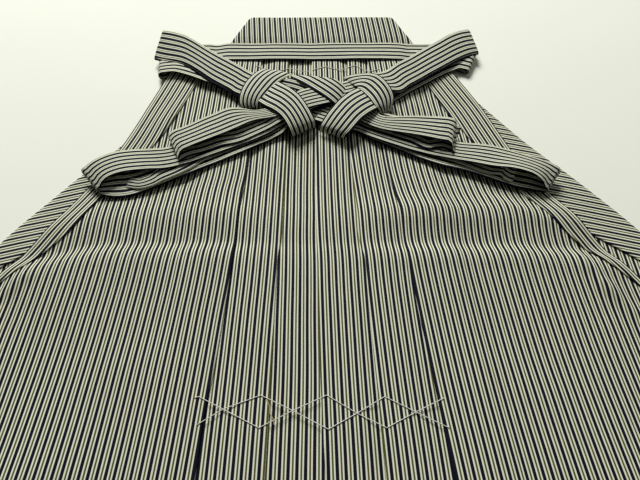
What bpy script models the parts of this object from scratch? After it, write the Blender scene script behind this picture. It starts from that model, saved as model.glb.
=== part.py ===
"""Men's striped hakama trousers, laid out flat with the front up and the ties folded on top.

Metres, +Z up. +Y runs from the hem to the back board, +X is the viewer's right.
The origin is on the surface that the garment lies on, in the middle of its length and width.
Tables and named sizes are in millimetres and are turned into metres where meshes are made.
"""

import math

import bpy
from mathutils import Vector

MM = 0.001

# Cloth walls and the stack they lie in
CLOTH = 1.0            # wall of one cloth layer
SEAM_GAP = 0.3         # space between two pieces
STEP = CLOTH + SEAM_GAP
BAND_CLOTH = 1.4       # waistband, several layers sewn together
TIE_WIDTH = 36.0
BOARD_UNDER = 2.2      # back board where the front lies on it
BOARD_FULL = 4.2       # back board where it is bare

# Heights of the middles of the lowest layers
BACK_LEVEL = CLOTH / 2
INSIDE_LEVEL = BACK_LEVEL + STEP    # facings, gusset and the hidden roots of the back ties

# Lengths along the garment
BOARD_TOP = 491.0
BOARD_FOOT = 401.0
FRONT_TOP = 430.0
BAND_TOP = 436.0
BAND_FOOT = 407.0
HEM = -491.0

# The soft fold across the front, where the garment was folded for storage
CREASE_LINE = 174.0
CREASE_RISE = 20.0
CREASE_FADE = 64.0
CREASE_HEIGHT = 4.2
UPPER_CREASE_LINE = 212.0
UPPER_CREASE_HEIGHT = 2.4

# Hidden cloth behind each fold edge
OUTER_PLEAT_DEPTH = 34.0
INNER_PLEAT_SHARE = 0.40   # of the space between two fold edges
CENTRE_LAP = 26.0
PLEAT_SLOPE = 20.0

BACK_EDGE = (
    dict(y=401, left=-127, right=131),
    dict(y=351, left=-163, right=166),
    dict(y=287, left=-199, right=210),
    dict(y=236, left=-239, right=251),
    dict(y=185, left=-275, right=288),
    dict(y=120, left=-313, right=322),
    dict(y=60, left=-338, right=341),
    dict(y=0, left=-354, right=354),
    dict(y=-120, left=-368, right=368),
    dict(y=-300, left=-382, right=382),
    dict(y=-491, left=-390, right=390),
)

FRONT_EDGE = (
    dict(y=430, left=-157, right=131),
    dict(y=409, left=-162, right=139),
    dict(y=373, left=-172, right=155),
    dict(y=340, left=-181, right=169),
    dict(y=274, left=-201, right=192),
    dict(y=225, left=-222, right=215),
    dict(y=190, left=-239, right=233),
    dict(y=158, left=-257, right=252),
    dict(y=130, left=-275, right=271),
    dict(y=60, left=-317, right=316),
    dict(y=0, left=-352, right=352),
    dict(y=-120, left=-367, right=367),
    dict(y=-300, left=-381, right=381),
    dict(y=-491, left=-389, right=389),
)

# Fold edges of the five pleats from the viewer's left to right
FOLDS = (
    dict(y=430, outer_left=-70, inner_left=-42, centre=-9, inner_right=33, outer_right=57),
    dict(y=373, outer_left=-70, inner_left=-41, centre=-6, inner_right=38, outer_right=61),
    dict(y=300, outer_left=-72, inner_left=-40, centre=-3, inner_right=43, outer_right=68),
    dict(y=171, outer_left=-75, inner_left=-40, centre=1, inner_right=48, outer_right=79),
    dict(y=47, outer_left=-83, inner_left=-39, centre=1, inner_right=47, outer_right=91),
    dict(y=-21, outer_left=-86, inner_left=-38, centre=3, inner_right=46, outer_right=95),
    dict(y=-200, outer_left=-95, inner_left=-37, centre=3, inner_right=45, outer_right=103),
    dict(y=-491, outer_left=-110, inner_left=-36, centre=3, inner_right=43, outer_right=114),
)

# Leaf-shaped pleats along the slit edges: their inner edges
SIDE_PLEAT = (
    dict(y=430, left=-127, right=104),
    dict(y=409, left=-129, right=111),
    dict(y=369, left=-137, right=119),
    dict(y=336, left=-146, right=130),
    dict(y=295, left=-161, right=150),
    dict(y=250, left=-186, right=174),
    dict(y=211, left=-208, right=198),
    dict(y=180, left=-223, right=218),
    dict(y=157, left=-242, right=237),
    dict(y=130, left=-266, right=263),
    dict(y=104, left=-288, right=286),
)

# Margins of the back folded over at the slits: how far in each one reaches
FACING = (
    dict(y=362, reach=54),
    dict(y=287, reach=56),
    dict(y=236, reach=55),
    dict(y=187, reach=51),
    dict(y=154, reach=29),
    dict(y=122, reach=5),
)

GUSSET = (
    dict(y=66, half_width=8),
    dict(y=-60, half_width=66),
    dict(y=-250, half_width=76),
    dict(y=-489, half_width=84),
)

# Middle lines of the front ties, seen from above, from the arm at the waist to the loop below
TIE_LINES = {
    "left_short": ((-184, 431), (-165, 425), (-141, 412), (-112, 391), (-83, 368), (-40, 340),
                   (0, 320), (50, 304), (95, 296), (136, 292)),
    "left_long": ((-184, 431), (-165, 425), (-141, 412), (-112, 391), (-83, 368), (-40, 340),
                  (0, 320), (50, 303), (100, 283), (134, 268), (160, 260), (187, 255), (218, 237)),
    "right_short": ((178, 432), (152, 422), (130, 408), (102, 385), (74, 364), (40, 350),
                    (0, 338), (-40, 328), (-83, 311), (-118, 290), (-145, 273)),
    "right_long": ((178, 432), (152, 422), (130, 408), (102, 385), (74, 364), (40, 348),
                   (0, 335), (-40, 320), (-73, 302), (-100, 284), (-130, 266), (-158, 253),
                   (-185, 245), (-212, 233)),
}

# Layers of each front tie in the order they are folded, heights of their middles.
# start and stop are shares of the line, arm is at the waist end and foot at the loop end.
LEFT_TIE_LAYERS = (
    dict(line="left_long", start=0.14, stop=1.0, arm=9.1, cross=9.1, side=7.1, foot=7.0),
    dict(line="left_long", start=1.0, stop=0.0, arm=10.6, cross=10.5, side=8.6, foot=12.6),
    dict(line="left_short", start=0.0, stop=1.0, arm=14.6, cross=11.9, side=10.1, foot=10.6),
    dict(line="left_short", start=1.0, stop=0.56, arm=13.3, cross=13.3, side=11.6, foot=15.0),
)
RIGHT_TIE_LAYERS = (
    dict(line="right_long", start=0.14, stop=1.0, arm=9.1, cross=14.8, side=7.1, foot=7.0),
    dict(line="right_long", start=1.0, stop=0.0, arm=10.6, cross=16.3, side=8.7, foot=17.4),
    dict(line="right_short", start=0.0, stop=1.0, arm=14.6, cross=17.9, side=10.9, foot=10.9),
    dict(line="right_short", start=1.0, stop=0.56, arm=19.4, cross=19.4, side=12.4, foot=17.0),
)
# Places across the knot where a tie's height changes, counted from the middle towards its loops
TO_CROSSING = dict(begin=-104.0, end=-50.0)
FROM_CROSSING = dict(begin=68.0, end=120.0)
LOOP_OPENS = dict(begin=58.0, end=16.0)    # before the loop's end
PINCH = dict(width=0.74, reach=105.0)      # ties are squeezed where they cross

# Roots of the back ties: out from under the front's corner, folded over and in to the knot
ROOT_LINES = {
    "left": ((-180, 391), (-160, 395), (-140, 392), (-113, 380), (-87, 364), (-66, 350)),
    "right": ((173, 394), (158, 400), (140, 397), (113, 380), (85, 359), (66, 346)),
}
ROOT_STARTS = {"left": (-136, 423), "right": (140, 424)}
ROOT_TOP_LEVEL = 7.7

# Stretches of the back ties that are wrapped over the crossing: middle line, height and width
WRAPS = {
    "back_tie_left_wrap": (
        dict(x=-42, y=386, z=9.0, width=36), dict(x=-46, y=380, z=12.8, width=36),
        dict(x=-55, y=367, z=14.5, width=34), dict(x=-66, y=354, z=15.0, width=28),
        dict(x=-73, y=345, z=15.1, width=23), dict(x=-76, y=339, z=14.9, width=21)),
    "back_tie_left_lower_wrap": (
        dict(x=-56, y=345, z=21.2, width=30), dict(x=-44, y=335, z=21.4, width=33),
        dict(x=-30, y=321, z=21.2, width=32), dict(x=-20, y=305, z=20.0, width=29),
        dict(x=-17, y=296, z=14.0, width=26), dict(x=-16, y=292, z=9.2, width=24)),
    "back_tie_middle_wrap": (
        dict(x=-14, y=372, z=14.0, width=28), dict(x=-6, y=364, z=20.4, width=29),
        dict(x=5, y=356, z=21.4, width=30), dict(x=16, y=347, z=21.4, width=30),
        dict(x=24, y=340, z=21.0, width=29)),
    "back_tie_right_wrap": (
        dict(x=38, y=385, z=10.0, width=35), dict(x=41, y=379, z=16.0, width=35),
        dict(x=50, y=366, z=21.4, width=35), dict(x=59, y=352, z=21.6, width=33),
        dict(x=66, y=337, z=19.0, width=28), dict(x=69, y=328, z=14.8, width=24)),
    "back_tie_right_lower_wrap": (
        dict(x=49, y=331, z=21.4, width=29), dict(x=42, y=325, z=21.2, width=33),
        dict(x=29, y=312, z=19.0, width=34), dict(x=18, y=298, z=16.6, width=31),
        dict(x=13, y=291, z=12.0, width=27), dict(x=12, y=287, z=9.2, width=24)),
}

COLOURS = {
    "striped_cloth": (0.33, 0.34, 0.25, 1.0),
    "striped_tie": (0.35, 0.36, 0.27, 1.0),
    "striped_board": (0.34, 0.35, 0.26, 1.0),
}


def clear_scene():
    for item in list(bpy.data.objects):
        bpy.data.objects.remove(item, do_unlink=True)


def make_collection(name):
    group = bpy.data.collections.new(name)
    bpy.context.scene.collection.children.link(group)
    return group


def make_material(name, roughness=0.85):
    material = bpy.data.materials.new(name)
    material.use_nodes = True
    shader = material.node_tree.nodes["Principled BSDF"]
    shader.inputs["Base Color"].default_value = COLOURS[name]
    shader.inputs["Roughness"].default_value = roughness
    shader.inputs["Metallic"].default_value = 0.0
    return material


def smooth(value, low, high):
    """0 below low, 1 above high, with soft ends."""
    share = min(1.0, max(0.0, (value - low) / (high - low)))
    return share * share * (3.0 - 2.0 * share)


def column(table, name, y):
    """A table's column at a place along the garment."""
    rows = sorted(table, key=lambda row: row["y"])
    if y <= rows[0]["y"]:
        return rows[0][name]
    for low, high in zip(rows, rows[1:]):
        if y <= high["y"]:
            share = (y - low["y"]) / (high["y"] - low["y"])
            return low[name] + share * (high[name] - low[name])
    return rows[-1][name]


def crease(y):
    """Height that the storage folds add to the front."""
    below = smooth(y, CREASE_LINE - CREASE_FADE, CREASE_LINE - CREASE_RISE)
    above = 1.0 - smooth(y, CREASE_LINE - CREASE_RISE, CREASE_LINE)
    upper = smooth(y, CREASE_LINE, UPPER_CREASE_LINE - CREASE_RISE)
    upper *= 1.0 - smooth(y, UPPER_CREASE_LINE - CREASE_RISE, UPPER_CREASE_LINE + 4.0)
    return CREASE_HEIGHT * below * above + UPPER_CREASE_HEIGHT * upper


def front_base(x, y):
    """Middle of the front's lowest layer: on the facings and the gusset, on the back at its seams."""
    at_seam = smooth(abs(x), 200.0, 260.0) * (1.0 - smooth(y, 10.0, 80.0))
    return INSIDE_LEVEL + STEP * (1.0 - at_seam) + crease(y)


def pleat_cover(x, y):
    """How many layers the pleats add at a place, from 0 at the sides to 2."""
    left = column(FOLDS, "outer_left", y) - OUTER_PLEAT_DEPTH - 2.0
    right = column(FOLDS, "outer_right", y) + OUTER_PLEAT_DEPTH + 2.0
    return 2.0 * smooth(x, left - PLEAT_SLOPE, left) * (1.0 - smooth(x, right, right + PLEAT_SLOPE))


def front_skin(x, y):
    """Middle of the front's topmost layer."""
    return front_base(x, y) + STEP * pleat_cover(x, y)


def make_sheet(name, grid, thickness, material, group):
    """A cloth wall from a grid of points on its middle surface.

    Each square is split along its higher diagonal, so that layers above each other stay parallel.
    """
    columns = len(grid[0])
    points = [Vector(point) * MM for row in grid for point in row]
    faces = []
    for i in range(len(grid) - 1):
        for j in range(columns - 1):
            a = i * columns + j
            b, c, d = a + 1, a + columns + 1, a + columns
            if points[a].z + points[c].z < points[b].z + points[d].z:
                a, b, c, d = b, c, d, a
            faces += [(a, b, c), (a, c, d)]
    mesh = bpy.data.meshes.new(name)
    mesh.from_pydata(points, [], faces)
    mesh.materials.append(material)
    sheet = bpy.data.objects.new(name, mesh)
    group.objects.link(sheet)
    wall = sheet.modifiers.new("Wall", "SOLIDIFY")
    wall.thickness = thickness * MM
    wall.offset = 0.0
    wall.use_even_offset = True
    wall.use_quality_normals = True
    return sheet


def edge_rows(tables, top, foot):
    """The table's own rows between two ends, with the ends themselves."""
    places = {top, foot}
    for table in tables:
        places.update(row["y"] for row in table if foot < row["y"] < top)
    return sorted(places, reverse=True)


def make_backs(material, group):
    for side, sign in (("left", -1), ("right", 1)):
        grid = []
        for y in edge_rows((BACK_EDGE,), BOARD_FOOT - SEAM_GAP, HEM):
            edge = column(BACK_EDGE, side, y)
            seam = sign * SEAM_GAP / 2
            middle = seam + (edge - seam) * 0.5
            grid.append([(x, y, BACK_LEVEL) for x in (seam, middle, edge)])
        make_sheet("back_" + side, grid, CLOTH, material, group)


def make_facings(material, group):
    for side, sign in (("left", -1), ("right", 1)):
        grid = []
        for y in edge_rows((FACING, BACK_EDGE), FACING[0]["y"], FACING[-1]["y"]):
            edge = column(BACK_EDGE, side, y)
            inner = edge - sign * column(FACING, "reach", y)
            grid.append([(x, y, INSIDE_LEVEL) for x in (inner, edge)])
        make_sheet("back_slit_facing_" + side, grid, CLOTH, material, group)


def make_gusset(material, group):
    grid = []
    for row in GUSSET:
        width = row["half_width"]
        grid.append([(x, row["y"], INSIDE_LEVEL) for x in (-width, 0.0, width)])
    make_sheet("gusset", grid, CLOTH, material, group)


def make_board(material, group):
    """The back board: thin where the front lies on it, full above, with a soft rim."""
    rows = (
        dict(y=BOARD_FOOT, left=-126, right=130, top=BOARD_UNDER, rim=BOARD_UNDER),
        dict(y=440.0, left=-107, right=111, top=BOARD_UNDER, rim=BOARD_UNDER),
        dict(y=452.0, left=-102, right=106, top=BOARD_FULL, rim=3.2),
        dict(y=480.0, left=-90, right=93, top=BOARD_FULL, rim=3.2),
        dict(y=489.0, left=-87, right=90, top=3.6, rim=2.6),
        dict(y=BOARD_TOP, left=-82, right=85, top=2.6, rim=1.8),
    )
    inset = 4.0
    points = []
    loop = 8
    for row in rows:
        left = row["left"]
        right = row["right"]
        ring = ((left, 0.0), (right, 0.0), (right, row["rim"]), (right - inset, row["top"]),
                (right * 0.4, row["top"]), (left * 0.4, row["top"]),
                (left + inset, row["top"]), (left, row["rim"]))
        points.extend(Vector((x, row["y"], z)) * MM for x, z in ring)
    faces = [tuple(range(loop))]
    for i in range(len(rows) - 1):
        for j in range(loop):
            following = (j + 1) % loop
            faces.append((i * loop + following, i * loop + j,
                          (i + 1) * loop + j, (i + 1) * loop + following))
    last = (len(rows) - 1) * loop
    faces.append(tuple(last + j for j in reversed(range(loop))))
    mesh = bpy.data.meshes.new("back_board")
    mesh.from_pydata(points, [], faces)
    mesh.materials.append(material)
    board = bpy.data.objects.new("back_board", mesh)
    group.objects.link(board)


def turn(edge, level, heading, steps=3):
    """Points round a fold from one level to the next one down, as (x, level)."""
    radius = STEP / 2
    points = []
    for i in range(steps + 1):
        angle = math.pi / 2 - math.pi * i / steps
        x = edge - heading * radius + heading * radius * math.cos(angle)
        points.append((x, level - 0.5 + 0.5 * math.sin(angle)))
    return points


def pleat(edge, depth, heading):
    """The top layer's fold, the hidden layer and its fold back, as (x, level)."""
    inner = edge - heading * depth
    return turn(edge, 2.0, heading) + turn(inner, 1.0, -heading)


def front_section(side, y):
    """One front across the garment from its slit edge to the middle, as (x, level)."""
    sign = -1 if side == "left" else 1
    heading = -sign
    edge = column(FRONT_EDGE, side, y)
    outer = column(FOLDS, "outer_" + side, y)
    inner = column(FOLDS, "inner_" + side, y)
    centre = column(FOLDS, "centre", y)
    rise_end = outer + sign * (OUTER_PLEAT_DEPTH + 2.0)
    rise_start = rise_end + sign * PLEAT_SLOPE
    rise_start = sign * min(abs(rise_start), abs(edge) - 6.0)
    section = [(edge, 0.0), ((edge + rise_start) / 2, 0.0)]
    for share in (0.0, 0.33, 0.67, 1.0):
        x = rise_start + (rise_end - rise_start) * share
        section.append((x, pleat_cover(x, y)))
    section += pleat(outer, OUTER_PLEAT_DEPTH, heading)
    space = abs(outer - inner)
    depth = space * INNER_PLEAT_SHARE
    climb_start = outer + heading * 2.0
    climb_end = inner - heading * (depth + 2.0)
    section += [(climb_start, 0.0), ((climb_start + climb_end) / 2, 1.0), (climb_end, 2.0)]
    section += pleat(inner, depth, heading)
    if side == "left":
        return section + [(inner + 2.0, 0.0), (centre + CENTRE_LAP - 4.0, 0.0)]
    lap_end = centre + CENTRE_LAP
    section += [(inner - 2.0, 0.0), ((inner + lap_end) / 2, 1.0), (lap_end + 3.0, 2.0)]
    return section + turn(centre, 2.0, heading) + [(lap_end, 1.0)]


def front_places():
    """Rows along the fronts: even ones, and closer ones over the storage folds."""
    places = {FRONT_TOP, 409.0, 373.0, 340.0, 300.0, 262.0, 238.0}
    places |= {218.0, 206.0, 192.0, 180.0, 173.0, 167.0, 161.0, 154.0, 142.0, 128.0, 110.0}
    places |= {80.0, 47.0, 0.0, -60.0, -160.0, -300.0, HEM}
    return sorted(places, reverse=True)


def make_fronts(material, group):
    for side in ("left", "right"):
        grid = []
        for y in front_places():
            row = []
            for x, level in front_section(side, y):
                row.append((x, y, front_base(x, y) + STEP * level))
            grid.append(row)
        make_sheet("front_" + side, grid, CLOTH, material, group)


def make_side_pleats(material, group):
    top = SIDE_PLEAT[0]["y"]
    foot = SIDE_PLEAT[-1]["y"]
    for side in ("left", "right"):
        grid = []
        for y in [y for y in front_places() if foot < y < top] + [foot]:
            inner = column(SIDE_PLEAT, side, y)
            outer = column(FRONT_EDGE, side, y)
            row = []
            for share in (0.0, 0.5, 1.0):
                x = inner + (outer - inner) * share
                row.append((x, y, front_skin(x, y) + STEP))
            grid.append(row)
        make_sheet("side_pleat_" + side, grid, CLOTH, material, group)


def make_waistband(material, group):
    lift = CLOTH / 2 + SEAM_GAP + BAND_CLOTH / 2
    rows = (BAND_FOOT, (BAND_FOOT + BAND_TOP) / 2, BAND_TOP)
    columns = (-161, -146, -132, -126, -120, -113, -106, -40, 30, 93, 99, 105, 112, 118, 126, 138)
    grid = []
    for y in rows:
        row = []
        for x in columns:
            at = min(y, FRONT_TOP)
            on_side = max(1.0 - smooth(x, -128.0, -118.0), smooth(x, 98.0, 108.0))
            level = pleat_cover(x, at) + on_side
            row.append((x, y, front_base(x, at) + STEP * level + lift))
        grid.append(row)
    make_sheet("waistband", grid, BAND_CLOTH, material, group)


def curve_point(points, place):
    """A point on a smooth curve through the given points, place counted in spans."""
    spans = len(points) - 1
    place = min(max(place, 0.0), spans)
    i = min(int(place), spans - 1)
    t = place - i
    before = points[max(i - 1, 0)]
    start = points[i]
    end = points[i + 1]
    after = points[min(i + 2, spans)]
    return [
        0.5 * (2 * b + (c - a) * t + (2 * a - 5 * b + 4 * c - d) * t * t
               + (3 * b - a - 3 * c + d) * t * t * t)
        for a, b, c, d in zip(before, start, end, after)
    ]


def even_line(points, start, stop, steps):
    """Evenly spaced points on the curve and its headings from above, between two shares of it."""
    fine = 16 * (len(points) - 1)
    dense = [curve_point(points, i / 16) for i in range(fine + 1)]
    reached = [0.0]
    for a, b in zip(dense, dense[1:]):
        reached.append(reached[-1] + math.dist(a[:2], b[:2]))
    rows = []
    for i in range(steps + 1):
        target = reached[-1] * (start + (stop - start) * i / steps)
        j = max(k for k in range(fine) if reached[k] <= target + 1e-9)
        t = (target - reached[j]) / (reached[j + 1] - reached[j])
        point = [a + (b - a) * t for a, b in zip(dense[j], dense[j + 1])]
        low = dense[max(j - 3, 0)]
        high = dense[min(j + 4, fine)]
        size = math.dist(low[:2], high[:2])
        rows.append((point, ((high[0] - low[0]) / size, (high[1] - low[1]) / size)))
    return rows


def zone(value, limits):
    return smooth(value, limits["begin"], limits["end"])


def layer_height(layer, reach, end):
    """Height of one tie layer: reach runs across the knot towards the loop that lies at end."""
    height = layer["arm"] + zone(reach, TO_CROSSING) * (layer["cross"] - layer["arm"])
    height += zone(reach, FROM_CROSSING) * (layer["side"] - layer["cross"])
    opening = smooth(reach, end - LOOP_OPENS["begin"], end - LOOP_OPENS["end"])
    return height + opening * (layer["foot"] - layer["side"])


def tie_width(reach):
    squeezed = 1.0 - smooth(abs(reach), 0.0, PINCH["reach"])
    return TIE_WIDTH * (1.0 - (1.0 - PINCH["width"]) * squeezed)


def ribbon_row(x, y, z, heading, width):
    """The two edges of a ribbon at one place."""
    across = (-heading[1] * width / 2, heading[0] * width / 2)
    return [(x - across[0], y - across[1], z), (x + across[0], y + across[1], z)]


def fold_rows(low_row, high_row, away, steps=6):
    """Rows round the end of a ribbon that is folded back over itself."""
    rows = []
    for i in range(1, steps):
        angle = -math.pi / 2 + math.pi * i / steps
        row = []
        for low, high in zip(low_row, high_row):
            radius = (high[2] - low[2]) / 2
            ahead = abs(radius) * math.cos(angle)
            z = (high[2] + low[2]) / 2 + radius * math.sin(angle)
            row.append((low[0] + away[0] * ahead, low[1] + away[1] * ahead, z))
        rows.append(row)
    return rows


def thin_out(rows, limit=0.05, stride=3):
    """Keeps the rows where the height changes and every third row elsewhere."""
    kept = []
    last = len(rows) - 1
    for i, row in enumerate(rows):
        before = rows[max(i - 1, 0)]
        after = rows[min(i + 1, last)]
        change = max(abs(a[2] - b[2]) for a, b in zip(before, after))
        if i in (0, last) or i % stride == 0 or change > limit:
            kept.append(row)
    return kept


def make_front_tie(name, side, layers, material, group, spacing=8.5):
    sign = 1 if side == "left" else -1
    grid = []
    for number, layer in enumerate(layers):
        line = TIE_LINES[layer["line"]]
        end = abs(line[-1][0])
        span = layer["stop"] - layer["start"]
        length = abs(span) * sum(math.dist(a, b) for a, b in zip(line, line[1:]))
        rows = []
        for (x, y), heading in even_line(line, layer["start"], layer["stop"], round(length / spacing)):
            flat = ribbon_row(x, y, 0.0, heading, tie_width(sign * x))
            rows.append([(px, py, layer_height(layer, sign * px, end)) for px, py, pz in flat])
        if grid:
            away = (turned[0] * outward, turned[1] * outward)
            grid += fold_rows(grid[-1], rows[0], away)
        grid += thin_out(rows)
        turned = heading
        outward = 1 if span > 0 else -1
    make_sheet(name, grid, CLOTH, material, group)


def make_back_tie_roots(material, group):
    for side in ("left", "right"):
        line = ROOT_LINES[side]
        over = even_line(line, 0.0, 1.0, 7)
        fold, inward = over[0]
        outward = (-inward[0], -inward[1])
        start = ROOT_STARTS[side]
        size = math.dist(start, fold)
        out = ((fold[0] - start[0]) / size, (fold[1] - start[1]) / size)
        grid = []
        for share in (0.0, 0.35, 0.7, 1.0):
            place = [a + (b - a) * share for a, b in zip(start, fold)]
            blend = smooth(share, 0.0, 1.0)
            heading = [a + (b - a) * blend for a, b in zip(out, outward)]
            length = math.hypot(*heading)
            heading = (heading[0] / length, heading[1] / length)
            grid.append(ribbon_row(*place, INSIDE_LEVEL, heading, TIE_WIDTH))
        top = [ribbon_row(*place, ROOT_TOP_LEVEL, heading, -TIE_WIDTH) for place, heading in over]
        grid += fold_rows(grid[-1], top[0], outward)
        grid += top
        make_sheet("back_tie_" + side, grid, CLOTH, material, group)


def make_wraps(material, group):
    for name, rows in WRAPS.items():
        line = [(row["x"], row["y"], row["z"], row["width"]) for row in rows]
        grid = []
        for (x, y, z, width), heading in even_line(line, 0.0, 1.0, 2 * len(rows)):
            grid.append(ribbon_row(x, y, z, heading, width))
        make_sheet(name, grid, CLOTH, material, group)


def main():
    clear_scene()
    group = make_collection("hakama")
    cloth = make_material("striped_cloth")
    tie = make_material("striped_tie")
    board = make_material("striped_board")
    make_backs(cloth, group)
    make_facings(cloth, group)
    make_gusset(cloth, group)
    make_board(board, group)
    make_fronts(cloth, group)
    make_side_pleats(cloth, group)
    make_waistband(tie, group)
    make_back_tie_roots(tie, group)
    make_front_tie("front_tie_left", "left", LEFT_TIE_LAYERS, tie, group)
    make_front_tie("front_tie_right", "right", RIGHT_TIE_LAYERS, tie, group)
    make_wraps(tie, group)


main()
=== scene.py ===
import math

import bpy
import numpy as np
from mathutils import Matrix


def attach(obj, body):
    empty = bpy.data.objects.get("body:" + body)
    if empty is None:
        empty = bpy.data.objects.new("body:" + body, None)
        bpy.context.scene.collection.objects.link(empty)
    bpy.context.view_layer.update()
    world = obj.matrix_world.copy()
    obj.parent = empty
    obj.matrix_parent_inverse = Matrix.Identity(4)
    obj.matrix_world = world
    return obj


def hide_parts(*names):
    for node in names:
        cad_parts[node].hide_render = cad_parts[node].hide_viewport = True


# Striped hakama laid flat, front up. Tables are in millimetres: x to the viewer's right,
# y from the hem to the back board, z up. Blender's own values are in metres.
mm = 0.001
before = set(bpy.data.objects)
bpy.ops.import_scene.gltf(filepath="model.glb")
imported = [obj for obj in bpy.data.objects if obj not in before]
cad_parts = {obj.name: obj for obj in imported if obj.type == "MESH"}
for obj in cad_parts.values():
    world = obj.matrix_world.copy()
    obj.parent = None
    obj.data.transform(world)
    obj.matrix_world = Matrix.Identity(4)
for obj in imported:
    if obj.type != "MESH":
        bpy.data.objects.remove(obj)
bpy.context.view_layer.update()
print("frame loaded,", len(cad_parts), "nodes")

camera = {
    "height": 378.0,
    "behind": -52.0,          # y of the lens
    "tiltDown": 59.1,         # degrees below the horizon
    "focalPixels": 490.0,
    "imageWidth": 640.0,
    "sensor": 36.0,
}


def makeCamera(look):
    lens = bpy.data.cameras.new("photoCamera")
    lens.sensor_width = look["sensor"]
    lens.lens = look["focalPixels"] / look["imageWidth"] * look["sensor"]
    holder = bpy.data.objects.new("photoCamera", lens)
    holder.location = (0.0, look["behind"] * mm, look["height"] * mm)
    holder.rotation_euler = (math.radians(90.0 - look["tiltDown"]), 0.0, 0.0)
    bpy.context.scene.collection.objects.link(holder)
    bpy.context.scene.camera = holder


makeCamera(camera)
print("camera placed")


# Shading

class Wire:
    # a node's output that can be added, multiplied and so on; each sum adds its Math node
    def __init__(self, paint, socket):
        self.paint = paint
        self.socket = socket

    def maths(self, operation, *others):
        node = self.paint.node("ShaderNodeMath", {"operation": operation})
        for place, value in enumerate((self,) + others):
            self.paint.feed(node.inputs[place], value)
        return Wire(self.paint, node.outputs[0])

    def __add__(self, other):
        return self.maths("ADD", other)

    __radd__ = __add__

    def __mul__(self, other):
        return self.maths("MULTIPLY", other)

    __rmul__ = __mul__

    def __sub__(self, other):
        return self.maths("SUBTRACT", other)

    def __rsub__(self, other):
        return (self * -1.0) + other

    def __truediv__(self, other):
        return self.maths("DIVIDE", other)

    def fract(self):
        return self.maths("FRACT")

    def sine(self):
        return self.maths("SINE")


class Paint:
    def __init__(self, name):
        self.material = bpy.data.materials.new(name)
        self.material.use_nodes = True
        self.tree = self.material.node_tree
        self.tree.nodes.clear()

    def feed(self, socket, value):
        if isinstance(value, Wire):
            self.tree.links.new(value.socket, socket)
        else:
            socket.default_value = value

    def node(self, kind, settings=None, sockets=None):
        # settings come first because some of them change which sockets there are
        made = self.tree.nodes.new(kind)
        for name, value in (settings or {}).items():
            if name == "stops":
                setStops(made.color_ramp, value)
            else:
                setattr(made, name, value)
        for name, value in (sockets or {}).items():
            self.feed(made.inputs[name], value)
        return made

    def wire(self, kind, settings=None, sockets=None, output=0):
        return Wire(self, self.node(kind, settings, sockets).outputs[output])

    def mixColours(self, factor, first, second, blend="MIX"):
        made = self.node("ShaderNodeMix", {"data_type": "RGBA", "blend_type": blend})
        for place, value in ((0, factor), (6, first), (7, second)):
            self.feed(made.inputs[place], value)
        return Wire(self, made.outputs[2])

    def finish(self, shader):
        output = self.node("ShaderNodeOutputMaterial")
        self.tree.links.new(shader.socket, output.inputs["Surface"])
        return self.material


def setStops(ramp, stops):
    ramp.interpolation = "LINEAR"
    while len(ramp.elements) > 1:
        ramp.elements.remove(ramp.elements[-1])
    ramp.elements[0].position = stops[0][0]
    ramp.elements[0].color = stops[0][1]
    for place, colour in stops[1:]:
        ramp.elements.new(place).color = colour


stripe = {
    "repeat": 6.1,
    "navy": (0.0055, 0.006, 0.014, 1.0),
    "cream": (0.76, 0.78, 0.60, 1.0),
    "olive": (0.078, 0.086, 0.020, 1.0),
    "brown": (0.110, 0.086, 0.030, 1.0),
    "navyShare": 0.385,
    "creamShare": 0.20,
    "edge": 0.035,            # share of the repeat over which two colours meet
    "thread": 0.42,           # warp threads and picks, mm
    "driftSize": (9.0, 60.0),  # of the noises: across and along the stripes, mm
    "slubSize": (0.5, 14.0),
    "pickSize": (10.0, 0.6),
    "wander": 0.35,           # sideways, mm
    "brownFrom": 0.42,        # of the drift: olive turns brown above it
    "brownTo": 0.68,
    "slubLight": 0.42,
    "pickLight": 0.09,
    "roughness": 0.78,
    "roughnessSpread": 0.2,
    "sheen": 0.02,
    "sheenRoughness": 0.45,
    "specular": 0.1,
    "bump": 0.16,
    "bumpDepth": 0.00012,
    "warpShare": 0.35,        # of the bump's height
    "twillShare": 0.45,
    "slubShare": 0.8,
}


def stripeStops(look, greenish):
    navyEnd = look["navyShare"]
    oliveStart = navyEnd + look["creamShare"]
    oliveEnd = 1.0 - look["creamShare"]
    half = look["edge"] / 2
    stops = [(0.0, look["navy"])]
    for place, before, after in ((navyEnd, look["navy"], look["cream"]),
                                 (oliveStart, look["cream"], greenish),
                                 (oliveEnd, greenish, look["cream"])):
        stops += [(place - half, before), (place + half, after)]
    return stops + [(1.0 - look["edge"], look["cream"]), (1.0, look["navy"])]


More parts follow.
